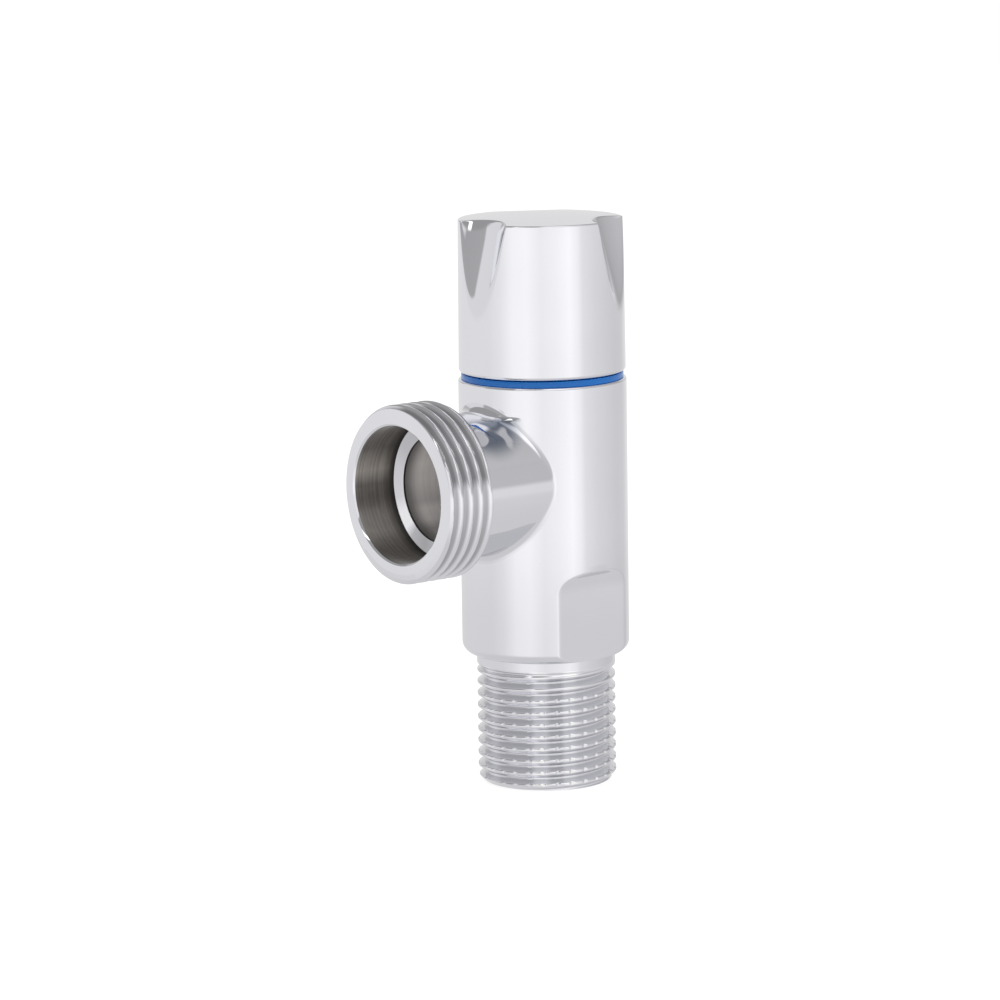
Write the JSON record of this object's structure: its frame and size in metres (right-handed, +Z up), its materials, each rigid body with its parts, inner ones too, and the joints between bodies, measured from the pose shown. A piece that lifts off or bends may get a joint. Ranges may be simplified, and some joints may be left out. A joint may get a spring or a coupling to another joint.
{
  "type": "angle valve",
  "caption": "Quarter-turn angle valve with a male inlet below, a male outlet at the side, wrench flats, a coloured ring and a notched knob.",
  "frame": {"origin": "centre of the inlet's end face, at the mouth of the inlet bore", "axes": "+Z up the spindle from the inlet to the knob, outlet pointing along -Y, wrench flats facing +X and -X"},
  "size_m": [0.0264, 0.0405, 0.0853],
  "materials": {
    "chrome": "polished",
    "blue_ring": "gloss",
    "brass": "machined",
    "steel": "satin",
    "rubber": "matt",
    "ceramic": "lapped",
    "nylon": "satin"
  },
  "bodies": {
    "valve": {"valve_body": "chrome", "indicator_ring": "blue_ring", "cartridge_housing": "brass", "cartridge_oring": "rubber", "fixed_disc": "ceramic", "seat_seal": "rubber", "seal_support_ring": "steel"},
    "knob": {"handle": "chrome", "handle_bush": "nylon", "spindle": "brass", "spindle_clip": "steel", "spindle_oring_upper": "rubber", "spindle_oring_lower": "rubber", "slip_washer": "nylon", "rotating_disc": "ceramic"}
  },
  "joints": [
    {"name": "handle_turn", "type": "hinge", "parent": "valve", "child": "knob", "pos_m": [0, 0, 0.062], "axis": [0, 0, 1], "range_deg": [0, 90]}
  ]
}
